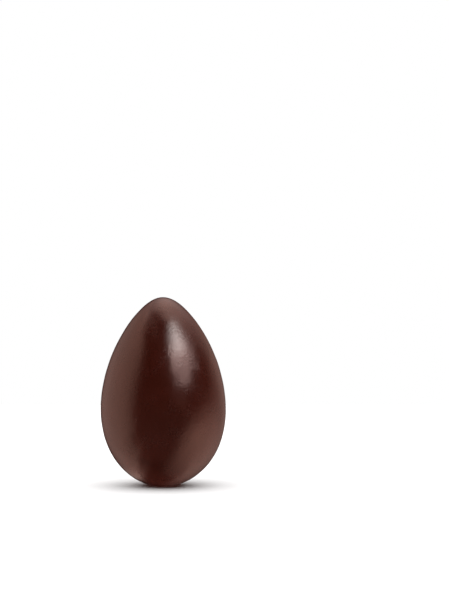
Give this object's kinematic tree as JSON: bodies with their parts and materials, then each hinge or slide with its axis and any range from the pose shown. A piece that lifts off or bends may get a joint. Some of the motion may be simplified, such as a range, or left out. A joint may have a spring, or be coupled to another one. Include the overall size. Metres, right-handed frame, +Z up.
{
  "type": "chocolate egg",
  "caption": "Moulded dark chocolate egg that stands upright on a small flat spot at its blunt end, with the fine line of the mould's joint round it lengthwise.",
  "frame": {"origin": "centre of the flat spot that the egg stands on", "axes": "+Z up along the egg's axis, from the flat spot to the tip; +Y to the back; the mould's two halves meet in the plane Y = 0, and -Y is the side that faces the viewer"},
  "size_m": [0.1104, 0.11, 0.1658],
  "materials": {
    "dark_chocolate": "satin, reddish dark brown tempered chocolate with a soft sheen"
  },
  "bodies": {
    "root": {"egg": "dark_chocolate"}
  },
  "joints": []
}
